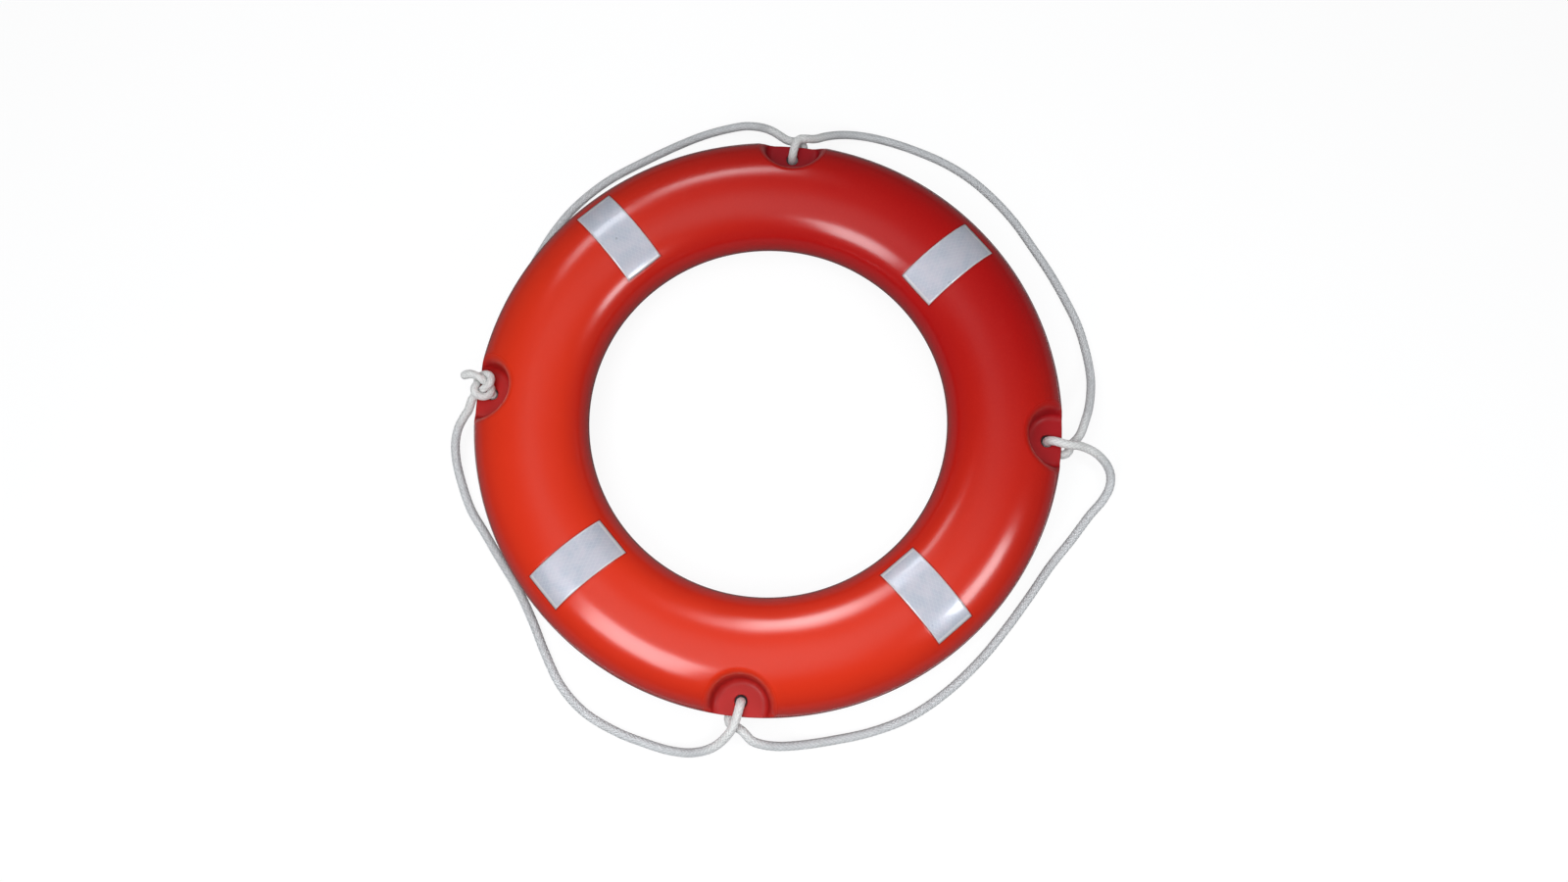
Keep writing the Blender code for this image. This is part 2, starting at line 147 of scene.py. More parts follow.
# Free stretches: degrees from +X, millimetres outside the outline, and lift from the ground to the web
UPPER_LEFT_ROUTE = [
    (178.0, -8.5, 0.40), (176.2, -5.5, 0.20), (173.5, -3, 0.06), (169.5, -1, 0), (164.5, 2, 0),
    (158.5, 7, 0), (152.5, 13.5, 0), (147.0, 20, 0), (141.5, 27, 0), (135.5, 33, 0), (128.0, 37, 0),
    (120.0, 38.5, 0), (112.3, 44, 0), (107.1, 49, 0.01), (103.0, 50, 0.10), (99.7, 48, 0.25),
    (96.8, 40, 0.47), (94.4, 28, 0.72),
]
UPPER_RIGHT_ROUTE = [
    (85.8, 18.5, 0.86), (84.2, 28.5, 0.66), (81.9, 40.5, 0.40), (79.4, 50.5, 0.16),
    (76.1, 57.5, 0.02), (71.7, 61, 0), (66.9, 64, 0), (62.0, 67, 0), (56.8, 68, 0), (50.9, 66, 0),
    (45.4, 63, 0), (39.9, 59, 0), (34.4, 58, 0), (28.9, 58, 0), (23.4, 59, 0), (18.0, 57, 0.03),
    (13.8, 53.3, 0.15), (10.4, 47, 0.33), (7.4, 40, 0.50), (4.9, 32.6, 0.67),
]
LOWER_RIGHT_ROUTE = [
    (-0.5, 29.5, 0.97), (-0.9, 41, 0.86), (-1.6, 53, 0.68), (-2.6, 64, 0.45), (-3.9, 71, 0.24),
    (-5.6, 72.5, 0.10), (-7.9, 67, 0.03), (-10.9, 55.5, 0.01), (-16.0, 42.5, 0), (-21.6, 31, 0),
    (-28.9, 26, 0), (-36.6, 26, 0), (-44.0, 29.5, 0), (-51.7, 34, 0), (-59.4, 37.5, 0),
    (-66.6, 36.5, 0), (-73.4, 34, 0.04), (-78.8, 33.5, 0.17), (-83.0, 33, 0.38), (-86.0, 30, 0.60),
]
LOWER_LEFT_ROUTE = [
    (-92.8, 30.5, 0.88), (-94.4, 40, 0.70), (-96.5, 47.5, 0.45), (-98.9, 52.5, 0.18),
    (-102.2, 55.5, 0.02), (-106.1, 56.5, 0), (-110.6, 58, 0), (-117.1, 57, 0), (-123.0, 48, 0),
    (-128.9, 32, 0), (-134.8, 18, 0), (-141.4, 10.5, 0), (-147.9, 12.5, 0), (-154.1, 18.5, 0),
    (-159.2, 27, 0), (-164.7, 32, 0.06), (-168.3, 33.7, 0.21), (-171.3, 31.8, 0.40),
    (-173.7, 25.5, 0.62), (-175.6, 15.8, 0.84),
]
KNOT_LEAD_IN = [(22, 9.6, -3.4), (15, 6.4, 2.4), (8.4, 3.2, 7.2)]
KNOT_TAIL = [(-19, 4.4, 16.4), (-19.6, 10, 14.6), (-18.8, 15, 12.2), (-17.2, 19.6, 9.4)]

# Middle of the floor that the ring covers, seen from the camera; the floor is left grey there, a
# painted shadow under the ring
PAINTED_SHADOW_OFFSET = Vector((-0.0023, 0.0129))
PAINTED_SHADOW_RADIUS = 0.3009
PAINTED_SHADOW_EDGE = (0.060, 0.071)

# Camera, at the photograph's viewing angle
CAMERA_PLACE = Vector((0.0626, -0.3445, 1.5167))
CAMERA_LOOK = Vector((-0.02688132, 0.21182528, -0.97693779))
CAMERA_UP = Vector((-0.08517113, 0.97325191, 0.21336965))
CAMERA_LENS = 28.10

# Light levels
ROOM_LIGHT = 0.07
BACKGROUND_WHITE = 0.93
FLOOR_PAPER = 0.13
FLOOR_GLOW = 0.89


class Value:
    """A number that varies over a surface. Sums and products of it add Math nodes."""

    def __init__(self, finish, socket):
        self.finish = finish
        self.socket = socket

    def maths(self, operation, *others):
        inputs = dict(enumerate((self, *others)))
        return self.finish.node("ShaderNodeMath", {"operation": operation}, inputs)

    def __add__(self, other):
        return self.maths("ADD", other)

    def __sub__(self, other):
        return self.maths("SUBTRACT", other)

    def __mul__(self, other):
        return self.maths("MULTIPLY", other)

    def __truediv__(self, other):
        return self.maths("DIVIDE", other)

    def __rsub__(self, other):
        return self.finish.node("ShaderNodeMath", {"operation": "SUBTRACT"}, {0: other, 1: self})

    def __mod__(self, other):
        return self.maths("FLOORED_MODULO", other)

    def __abs__(self):
        return self.maths("ABSOLUTE")

    __radd__ = __add__
    __rmul__ = __mul__

    def floor(self):
        return self.maths("FLOOR")

    def sine(self):
        return self.maths("SINE")

    def low(self, other):
        return self.maths("MINIMUM", other)

    def high(self, other):
        return self.maths("MAXIMUM", other)

    def over(self, limit):
        return self.maths("GREATER_THAN", limit)

    def ramp(self, start, finish):
        """0 at start and 1 at finish, with soft ends."""
        settings = {"interpolation_type": "SMOOTHSTEP"}
        return self.finish.node("ShaderNodeMapRange", settings, {0: self, 1: start, 2: finish})


class Finish:
    """A material being made. node() adds any node from its type, its settings and its inputs."""

    def __init__(self, name):
        self.material = bpy.data.materials.new(name)
        self.material.use_nodes = True
        self.tree = self.material.node_tree
        self.shader = self.tree.nodes["Principled BSDF"]

    def join(self, target, source):
        if isinstance(source, Value):
            self.tree.links.new(source.socket, target)
        else:
            target.default_value = source

    def node(self, kind, settings=None, inputs=None, output=0):
        made = self.tree.nodes.new(kind)
        for name, setting in (settings or {}).items():
            setattr(made, name, setting)
        for name, source in (inputs or {}).items():
            self.join(made.inputs[name], source)
        return Value(self, made.outputs[output])

    def place(self):
        """The point in the object's own space, whole and as x, y, z."""
        coordinates = self.node("ShaderNodeTexCoord", output="Object")
        return coordinates, self.split(coordinates, "XYZ")

    def mapped(self, name):
        """The two coordinates of a piece's own UV map."""
        return self.split(self.node("ShaderNodeUVMap", {"uv_map": name}), "XY")

    def split(self, vector, axes):
        return [self.node("ShaderNodeSeparateXYZ", inputs={0: vector}, output=axis) for axis in axes]

    def vector(self, x, y, z):
        return self.node("ShaderNodeCombineXYZ", inputs={0: x, 1: y, 2: z})

    def length(self, vector):
        return self.node("ShaderNodeVectorMath", {"operation": "LENGTH"}, {0: vector}, output="Value")

    def noise(self, place, scale, detail=3.0, roughness=0.5, distortion=0.0):
        inputs = {"Vector": place, "Scale": scale, "Detail": detail}
        inputs.update({"Roughness": roughness, "Distortion": distortion})
        return self.node("ShaderNodeTexNoise", inputs=inputs)

    def random(self, number):
        return self.node("ShaderNodeTexWhiteNoise", {"noise_dimensions": "1D"}, {"W": number})

    def cells(self, place, scale):
        return self.node("ShaderNodeTexVoronoi", inputs={"Vector": place, "Scale": scale})

    def blend(self, share, first, second):
        colours = [(*c, 1.0) if isinstance(c, tuple) else c for c in (first, second)]
        settings = {"data_type": "RGBA"}
        return self.node("ShaderNodeMix", settings, {0: share, 6: colours[0], 7: colours[1]}, output=2)

    def bump(self, height, distance, strength=1.0, under=None):
        inputs = {"Height": height, "Distance": distance, "Strength": strength}
        if under is not None:
            inputs["Normal"] = under
        return self.node("ShaderNodeBump", inputs=inputs)

    def finish(self, **sockets):
        for name, source in sockets.items():
            self.join(self.shader.inputs[name.replace("_", " ")], source)
        return self.material


def beside_notch(angle, points):
    """World points from millimetres along the outline, outside it and above the web's middle."""
    turn = Matrix.Rotation(math.radians(angle), 4, "Z")
    corner = Vector((OUTER_RADIUS, 0, MID_HEIGHT))
    return [turn @ (corner + Vector((outside, along, above)) * MM) for along, outside, above in points]


def hitch_turn(angle):
    return beside_notch(angle, TOWARDS_TURN[angle] + HITCH_TURN + AWAY_FROM_TURN[angle])


def round_the_ring(points):
    """World points from degrees, millimetres outside the outline and lift."""
    found = []
    for degrees, outside, lift in points:
        angle = math.radians(degrees)
        reach = OUTER_RADIUS + outside * MM
        height = GROUND_LEVEL + lift * (MID_HEIGHT - GROUND_LEVEL)
        found.append(Vector((reach * math.cos(angle), reach * math.sin(angle), height)))
    return found


def knot_turns():
    """An overhand knot on the left web, opened on its outer side for the line and the tail."""
    height = MID_HEIGHT + WEB_THICKNESS / 2 + 0.3 * MM + KNOT_LIFT + ROPE_RADIUS * ROPE_SQUEEZE
    centre = Vector((KNOT_SET_BACK - OUTER_RADIUS, KNOT_OFFSET, height))
    points = []
    for step in range(KNOT_POINTS):
        turn = KNOT_OPENING + (math.tau - 2 * KNOT_OPENING) * step / (KNOT_POINTS - 1)
        radius = KNOT_RING_RADIUS + KNOT_SWING * math.cos(3 * turn)
        angle = math.pi + 2 * turn
        lift = -KNOT_LIFT * math.sin(3 * turn)
        points.append(centre + Vector((radius * math.cos(angle), radius * math.sin(angle), lift)))
    return points


def spline_point(before, near, far, after, share):
    """Point on the centripetal curve between near and far."""
    at_near = math.sqrt((near - before).length)
    at_far = at_near + math.sqrt((far - near).length)
    at_after = at_far + math.sqrt((after - far).length)
    at = at_near + (at_far - at_near) * share
    first = before.lerp(near, at / at_near)
    second = near.lerp(far, share)
    third = far.lerp(after, (at - at_far) / (at_after - at_far))
    first_half = first.lerp(second, at / at_far)
    second_half = second.lerp(third, (at - at_near) / (at_after - at_near))
    return first_half.lerp(second_half, share)


class Route:
    """One smooth curve through the controls, with a frame carried along it without twist."""

    def __init__(self, controls):
        ends = [2 * controls[0] - controls[1], *controls, 2 * controls[-1] - controls[-2]]
        self.points = []
        for corners in zip(ends, ends[1:], ends[2:], ends[3:]):
            for step in range(ROUTE_DIVISIONS):
                self.points.append(spline_point(*corners, step / ROUTE_DIVISIONS))
        self.points.append(controls[-1].copy())
        for point in self.points:
            point.z = max(point.z, GROUND_LEVEL)
        self.distances = [0.0]
        for near, far in zip(self.points, self.points[1:]):
            self.distances.append(self.distances[-1] + (far - near).length)
        self.at_control = self.distances[::ROUTE_DIVISIONS]
        self.sides = [self.direction(0.0).orthogonal().normalized()]
        for distance in self.distances[1:]:
            along = self.direction(distance)
            side = self.sides[-1] - along * self.sides[-1].dot(along)
            self.sides.append(side.normalized())

    def between(self, values, distance):
        index = min(max(bisect.bisect(self.distances, distance), 1), len(self.points) - 1)
        run = self.distances[index] - self.distances[index - 1]
        return values[index - 1].lerp(values[index], (distance - self.distances[index - 1]) / run)

    def point(self, distance):
        return self.between(self.points, distance)

    def direction(self, distance):
        reach = 0.6 * MM
        low = max(distance - reach, 0.0)
        high = min(distance + reach, self.distances[-1])
        return (self.point(high) - self.point(low)).normalized()

    def frame(self, distance):
        """Centre and the two directions across the rope."""
        along = self.direction(distance)
        side = self.between(self.sides, distance)
        side = (side - along * side.dot(along)).normalized()
        return self.point(distance), side, along.cross(side)


def rope_scale(distance, tight):
    """Share of the rope's own radius: squeezed inside a tight stretch, and full away from it."""
    if tight is None:
        return 1.0
    outside = max(tight[0] - distance, distance - tight[1], 0.0)
    return ROPE_SQUEEZE + (1.0 - ROPE_SQUEEZE) * min(outside / ROPE_TAPER, 1.0)


def braid_height(around, along):
    """From 0 in a groove of the braid to 1 on a strand. Each strand passes over two and under two."""
    first = BRAID_STRANDS * around + along / BRAID_PITCH
    second = BRAID_STRANDS * around - along / BRAID_PITCH
    step = (math.floor(first) + math.floor(second)) % 4
    if step < 2:
        across, run = first % 1, (step + second % 1) / 2
    else:
        across, run = second % 1, (step - 2 + first % 1) / 2
    return math.sqrt(math.sin(math.pi * across)) * (0.45 + 0.55 * math.sin(math.pi * run))


def add_piece(name, data, material, replaced):
    piece = bpy.data.objects.new(name, data)
    bpy.context.scene.collection.objects.link(piece)
    data.materials.append(material)
    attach(piece, "root")
    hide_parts(replaced)
    return piece


def mesh_of(name, bm, smooth=True):
    mesh = bpy.data.meshes.new(name)
    bm.to_mesh(mesh)
    bm.free()
    if smooth:
        mesh.shade_smooth()
    return mesh


def rope_piece(name, route, start, finish, tight, sealed):
    """A stretch of braided rope: a grid wrapped round the route, closed at its seam and ends."""
    count = max(2, round((finish - start) / RING_SPACING))
    rings = []
    for index in range(count + 1):
        distance = start + (finish - start) * index / count
        radius = ROPE_RADIUS * rope_scale(distance, tight)
        if sealed:
            left = min((finish - distance) / SEALED_LENGTH, 1.0)
            radius *= SEALED_TIP + (1 - SEALED_TIP) * math.sqrt(1.0 - (1.0 - left) ** 2.4)
        rings.append((distance, radius, *route.frame(distance)))
    bm = bmesh.new()
    uv_layer = bm.loops.layers.uv.new("rope")
    bmesh.ops.create_grid(bm, x_segments=count, y_segments=ROPE_SIDES, size=1)
    for face in bm.faces:
        for loop in face.loops:
            share = (loop.vert.co.x + 1) / 2
            loop[uv_layer].uv = ((loop.vert.co.y + 1) / 2, start + (finish - start) * share)
    for vert in bm.verts:
        distance, radius, centre, side, across = rings[round((vert.co.x + 1) / 2 * count)]
        around = (vert.co.y + 1) / 2
        if round(around * ROPE_SIDES) == ROPE_SIDES:
            around = 0.0
        shrink = (1.0 - braid_height(around, distance)) * BRAID_RELIEF * radius / ROPE_RADIUS
        turn = math.tau * around
        vert.co = centre + (side * math.cos(turn) + across * math.sin(turn)) * (radius - shrink)
    bmesh.ops.remove_doubles(bm, verts=bm.verts, dist=0.01 * MM)
    bmesh.ops.holes_fill(bm, edges=[edge for edge in bm.edges if edge.is_boundary], sides=0)
    bmesh.ops.recalc_face_normals(bm, faces=bm.faces)
    piece = add_piece(f"{name}_rope", mesh_of(name, bm), rope_fibre, name)
    path = [centre for _, _, centre, _, _ in rings[::4]] + [rings[-1][2]]
    return piece, path


def build_grab_line():
    """The one rope, from its end in the left eye clockwise round the ring to its knot."""
    stretches = [
        ("eye_strand", beside_notch(180, EYE_STRAND)),
        ("grab_line_upper_left", round_the_ring(UPPER_LEFT_ROUTE)),
        ("hitch_top", hitch_turn(90)),
        ("grab_line_upper_right", round_the_ring(UPPER_RIGHT_ROUTE)),
        ("hitch_right", hitch_turn(0)),
        ("grab_line_lower_right", round_the_ring(LOWER_RIGHT_ROUTE)),
        ("hitch_bottom", hitch_turn(270)),
        ("grab_line_lower_left", round_the_ring(LOWER_LEFT_ROUTE)),
        ("end_knot", beside_notch(180, KNOT_LEAD_IN) + knot_turns() + beside_notch(180, KNOT_TAIL)),
    ]
    route = Route([point for _, points in stretches for point in points])
    first = 0
    for name, points in stretches:
        last = first + len(points) - 1
        free = name.startswith("grab_line")
        start = route.at_control[first - 1 if free else first]
        finish = route.at_control[last + 1 if free else last]
        tight = None
        knotted = name == "end_knot"
        if knotted:
            knot_start = route.at_control[first + len(KNOT_LEAD_IN)]
            knot_finish = route.at_control[last - len(KNOT_TAIL)]
            tight = (knot_start, knot_finish)
        rope_piece(name, route, start, finish, tight, knotted)
        first = last + 1


def round_meet(first, second, radius):
    """Distance to what two shapes share, with the edge between them rounded."""
    inner = np.minimum(np.maximum(first, second), -radius)
    return inner + np.hypot(np.maximum(first + radius, 0), np.maximum(second + radius, 0))


def soft_step(numbers, start, finish):
    share = np.clip((numbers - start) / (finish - start), 0, 1)
    return share * share * (3 - 2 * share)


def ring_distance(points):
    """Distance outside the plain ring."""
    across = np.hypot(points[:, 0], points[:, 1]) - CROWN_RADIUS
    above = points[:, 2] - MID_HEIGHT
    near = np.hypot(across / BAND_HALF_WIDTH, above / MID_HEIGHT)
    slope = np.hypot(across / BAND_HALF_WIDTH ** 2, above / MID_HEIGHT ** 2)
    return near * (near - 1) / np.maximum(slope, 1e-6)


def carved_distance(points):
    """Distance outside the ring with its notches, eyes and ports."""
    height = np.abs(points[:, 2] - MID_HEIGHT)
    flat = np.abs(points[:, :2])
    along = flat.max(axis=1)
    aside = flat.min(axis=1)
    draft = (NOTCH_FACE_RADIUS - NOTCH_WEB_RADIUS) / MID_HEIGHT
    wall = np.hypot(along - NOTCH_RADIUS, aside) - NOTCH_WEB_RADIUS - draft * height
    pocket = round_meet(wall / math.hypot(1, draft), WEB_THICKNESS / 2 - height, FLOOR_FILLET)
    rim = WEB_EDGE_ROUND + (HORN_ROUND - WEB_EDGE_ROUND) * soft_step(height, *WEB_TO_HORN)
    rim += (FACE_RIM_ROUND - HORN_ROUND) * soft_step(height, *HORN_TO_FACE)
    body = round_meet(ring_distance(points), -pocket, rim)
    eye = np.hypot(along - EYE_RADIUS, aside) - EYE_BORE
    body = round_meet(body, -eye, EYE_ROUND)
    for port in (FILL_PORT, VENT_PORT):
        x, y = port_centre(port)
        outside = np.hypot(points[:, 0] - x, points[:, 1] - y) - port["radius"]
        bore = np.maximum(outside, points[:, 2] - PORT_DEPTH)
        body = round_meet(body, -bore, PORT_ROUND)
    return body


def port_centre(port):
    angle = math.radians(port["angle"])
    return CROWN_RADIUS * math.cos(angle), CROWN_RADIUS * math.sin(angle)


def surface_slope(points):
    reach = 0.02 * MM
    steps = np.eye(3) * reach
    sides = [carved_distance(points + step) - carved_distance(points - step) for step in steps]
    return np.stack(sides, axis=1) / (2 * reach)


def settle(bm, rounds):
    """Move the points on to the carved ring's surface."""
    points = np.array([vert.co for vert in bm.verts])
    for _ in range(rounds):
        slope = surface_slope(points)
        size = np.maximum((slope ** 2).sum(axis=1), 0.2)
        points -= slope * (carved_distance(points) / size)[:, None]
    for vert, point in zip(bm.verts, points):
        vert.co = point


def add_arc(bm, start, span, steps):
    """An open tube of the plain section, turned about the ring's axis."""
    ends = bmesh.ops.create_circle(bm, segments=SECTION_POINTS, radius=1)["verts"]
    turn = Matrix.Rotation(math.radians(start), 3, "Z")
    for vert in ends:
        across = CROWN_RADIUS + BAND_HALF_WIDTH * vert.co.x
        vert.co = turn @ Vector((across, 0, MID_HEIGHT * (1 + vert.co.y)))
    edges = list({edge for vert in ends for edge in vert.link_edges})
    bmesh.ops.spin(
        bm, geom=ends + edges, cent=(0, 0, 0), axis=(0, 0, 1), angle=math.radians(span), steps=steps)


def add_cone(bm, radius, low_radius, high_radius, low, high):
    middle = Matrix.Translation((radius, 0, (low + high) / 2))
    bmesh.ops.create_cone(
        bm, cap_ends=True, segments=CUTTER_SIDES, radius1=low_radius, radius2=high_radius,
        depth=high - low, matrix=middle)


def notch_tools():
    """Cutters of one notch at +X: two drafted pockets, and the eye through the web."""
    draft = (NOTCH_FACE_RADIUS - NOTCH_WEB_RADIUS) / MID_HEIGHT
    web_half = WEB_THICKNESS / 2
    narrow = NOTCH_WEB_RADIUS + draft * web_half
    wide = NOTCH_WEB_RADIUS + draft * HEIGHT
    pockets = bmesh.new()
    add_cone(pockets, NOTCH_RADIUS, narrow, wide, MID_HEIGHT + web_half, MID_HEIGHT + HEIGHT)
    add_cone(pockets, NOTCH_RADIUS, wide, narrow, MID_HEIGHT - HEIGHT, MID_HEIGHT - web_half)
    eye = bmesh.new()
    low = MID_HEIGHT - WEB_THICKNESS
    high = MID_HEIGHT + WEB_THICKNESS
    add_cone(eye, EYE_RADIUS, EYE_BORE, EYE_BORE, low, high)
    return [mesh_of("pockets", pockets), mesh_of("eye", eye)]


def port_tools(port):
    """Cutter of a port's bore, at +X."""
    bore = bmesh.new()
    add_cone(bore, CROWN_RADIUS, port["radius"], port["radius"], -PORT_DEPTH, PORT_DEPTH)
    return [mesh_of("port", bore)]


def even_out(bm, points, rounds):
    """Slide points along the carved surface until they lie evenly."""
    for _ in range(rounds):
        bmesh.ops.smooth_vert(
            bm, verts=points, factor=0.5, use_axis_x=True, use_axis_y=True, use_axis_z=True)
        settle(bm, 2)


def refine_rim(bm, port):
    """Smaller faces round a port's rim."""
    x, y = port_centre(port)

    def off_rim(point):
        across = math.hypot(point.x - x, point.y - y)
        return abs(across - port["radius"]) + max(point.z - PORT_DEPTH, 0)

    for band in PORT_RIM_BANDS:
        rim = [edge for edge in bm.edges if max(off_rim(vert.co) for vert in edge.verts) < band]
        bmesh.ops.subdivide_edges(bm, edges=rim, cuts=1, use_grid_fill=True)
        settle(bm, 3)
        even_out(bm, [vert for vert in bm.verts if off_rim(vert.co) < band], 4)


def cut_block(half_span, voxel, tools):
    """A short stretch of ring at +X, longer than its span, cut by the tools and made even."""
    bm = bmesh.new()
    add_arc(bm, -half_span - 1, 2 * half_span + 2, round(2 * half_span))
    bmesh.ops.holes_fill(bm, edges=[edge for edge in bm.edges if edge.is_boundary], sides=0)
    bmesh.ops.recalc_face_normals(bm, faces=bm.faces)
    block = bpy.data.objects.new("block", mesh_of("block", bm))
    bpy.context.scene.collection.objects.link(block)
    cutters = []
    for tool in tools:
        cutter = bpy.data.objects.new("cutter", tool)
        bpy.context.scene.collection.objects.link(cutter)
        cutters.append(cutter)
        cut = block.modifiers.new("Cut", "BOOLEAN")
        cut.operation = "DIFFERENCE"
        cut.solver = "EXACT"
        cut.object = cutter
    even = block.modifiers.new("Even", "REMESH")
    even.mode = "VOXEL"
    even.voxel_size = voxel
    carved = bpy.data.meshes.new_from_object(block.evaluated_get(bpy.context.evaluated_depsgraph_get()))
    for thing in [block, *cutters]:
        bpy.data.objects.remove(thing)
    bm = bmesh.new()
    bm.from_mesh(carved)
    bpy.data.meshes.remove(carved)
    return bm


def carved_sector(angle, half_span, voxel, tools, port=None):
    """A short open stretch of the carved ring at an angle, drawn on to its smooth surface."""
    bm = cut_block(half_span, voxel, tools)
    for side in (-1, 1):
        turn = math.radians(side * half_span)
        outward = Vector((-math.sin(turn), math.cos(turn), 0)) * side
        geometry = [*bm.verts, *bm.edges, *bm.faces]
        bmesh.ops.bisect_plane(
            bm, geom=geometry, plane_co=(0, 0, 0), plane_no=outward, clear_outer=True)
    rim = [vert for vert in bm.verts if vert.is_boundary]
    bmesh.ops.remove_doubles(bm, verts=rim, dist=SMALLEST_EDGE)
    spin = Matrix.Rotation(math.radians(angle), 3, "Z")
    bmesh.ops.rotate(bm, verts=bm.verts, cent=(0, 0, 0), matrix=spin)
    settle(bm, 3)
    even_out(bm, [vert for vert in bm.verts if not vert.is_boundary], 3)
    if port is not None:
        refine_rim(bm, port)
    return mesh_of("sector", bm)


def bridge_at(bm, angle):
    """Join the two open ends that face each other at an angle."""
    turn = math.radians(angle)
    along = Vector((math.cos(turn), math.sin(turn)))
    near = math.cos(math.radians(JOINT_SPAN))
    ends = [
        edge for edge in bm.edges
        if edge.is_boundary and all(vert.co.xy.normalized().dot(along) > near for vert in edge.verts)
    ]
    bmesh.ops.bridge_loops(bm, edges=ends)


def build_ring():
    """The moulded skin: plain arcs of ring, with carved stretches at the notches and the ports."""
    notch = carved_sector(0, NOTCH_SPAN, NOTCH_VOXEL, notch_tools())
    sectors = []
    for angle in (0, 90, 180, 270):
        sectors.append((angle, NOTCH_SPAN, notch, Matrix.Rotation(math.radians(angle), 4, "Z")))
    for port in (FILL_PORT, VENT_PORT):
        carved = carved_sector(port["angle"], PORT_SPAN, PORT_VOXEL, port_tools(port), port)
        sectors.append((port["angle"], PORT_SPAN, carved, Matrix.Identity(4)))
    sectors.sort(key=lambda sector: sector[0])
    bm = bmesh.new()
    joints = []
    for here, after in zip(sectors, sectors[1:] + sectors[:1]):
        angle, span, carved, turn = here
        copy = carved.copy()
        copy.transform(turn)
        bm.from_mesh(copy)
        start = angle + span + JOINT_SPAN
        finish = after[0] - after[1] - JOINT_SPAN
        length = (finish - start) % 360
        add_arc(bm, start, length, round(length / ARC_STEP))
        joints += [start - JOINT_SPAN / 2, finish + JOINT_SPAN / 2]
    for angle in joints:
        bridge_at(bm, angle)
    bmesh.ops.recalc_face_normals(bm, faces=bm.faces)
    points = np.array([vert.co for vert in bm.verts])
    mesh = mesh_of("ring_skin", bm)
    slope = surface_slope(points)
    slope /= np.linalg.norm(slope, axis=1)[:, None]
    mesh.normals_split_custom_set_from_vertices(slope.tolist())
    return add_piece("ring_skin", mesh, orange_plastic, "shell")


def build_plug(name, port):
    """A turned push-in plug with a domed rim and a coin slot."""
    radius = port["radius"] - PLUG_CLEARANCE
    face = 0.4 * MM
    bm = bmesh.new()
    outline = [
        (0, face + 0.9 * MM), (0.55 * radius, face + 0.9 * MM), (0.68 * radius, face + 0.25 * MM),
        (0.76 * radius, face), (0.90 * radius, face), (0.97 * radius, face + 0.25 * MM),
        (radius, face + 0.8 * MM), (radius, PORT_DEPTH), (0, PORT_DEPTH),
    ]
    corners = [bm.verts.new((across, 0, height)) for across, height in outline]
    edges = [bm.edges.new(pair) for pair in zip(corners, corners[1:])]
    bmesh.ops.spin(
        bm, geom=corners + edges, cent=(0, 0, 0), axis=(0, 0, 1), angle=math.tau, steps=48,
        use_merge=True)
    bmesh.ops.remove_doubles(bm, verts=bm.verts, dist=0.005 * MM)
    slot = bmesh.ops.create_cube(bm, size=1)["verts"]
    for vert in slot:
        height = face + 1.0 * MM + vert.co.z * 0.9 * MM
        vert.co = (vert.co.x * radius * 0.9, vert.co.y * 1.1 * MM, height)
    bmesh.ops.bevel(
        bm, geom=list({edge for vert in slot for edge in vert.link_edges}), offset=0.2 * MM, segments=2,
        profile=0.5, affect="EDGES", material=-1)
    bmesh.ops.recalc_face_normals(bm, faces=bm.faces)
    x, y = port_centre(port)
    bmesh.ops.translate(bm, verts=bm.verts, vec=(x, y, 0))
    mesh = mesh_of(name, bm)
    mesh.set_sharp_from_angle(angle=math.radians(40))
    add_piece(f"{name}_moulding", mesh, plug_plastic, name)


def section_height(radius):
    """Height of the ring's face above its middle."""
    across = min(abs(radius - CROWN_RADIUS) / BAND_HALF_WIDTH, 1.0)
    return MID_HEIGHT * math.sqrt(1.0 - across * across)


def build_tapes():
    """Patches of reflective tape laid over both faces."""
    start = math.acos(TAPE_OUTER_REACH / BAND_HALF_WIDTH)
    finish = math.pi - math.acos(TAPE_INNER_REACH / BAND_HALF_WIDTH)
    for face in ("front", "back"):
        for index, angle in enumerate(TAPE_ANGLES, start=1):
            turn = Matrix.Translation((0, 0, MID_HEIGHT)) @ Matrix.Rotation(math.radians(angle), 4, "Z")
            if face == "back":
                turn = turn @ Matrix.Rotation(math.pi, 4, "X")
            bm = bmesh.new()
            uv_layer = bm.loops.layers.uv.new("tape")
            bmesh.ops.create_grid(bm, x_segments=44, y_segments=20, size=1)
            for patch_face in bm.faces:
                for loop in patch_face.loops:
                    length = (finish - start) * TAPE_BEND_RADIUS
                    loop[uv_layer].uv = (loop.vert.co.y * TAPE_WIDTH / 2, loop.vert.co.x * length / 2)
            for vert in bm.verts:
                lean = start + (finish - start) * (1 - vert.co.x) / 2
                along = CROWN_RADIUS + BAND_HALF_WIDTH * math.cos(lean)
                aside = vert.co.y * TAPE_WIDTH / 2
                height = section_height(math.hypot(along, aside)) - TAPE_BED
                vert.co = turn @ Vector((along, aside, height))
            tape = add_piece(
                f"tape_{face}_{index}_film", mesh_of("tape", bm), reflective_film,
                f"tape_{face}_{index}")
            wall = tape.modifiers.new("Thickness", "SOLIDIFY")
            wall.thickness = TAPE_THICKNESS + TAPE_BED
            wall.offset = 1.0


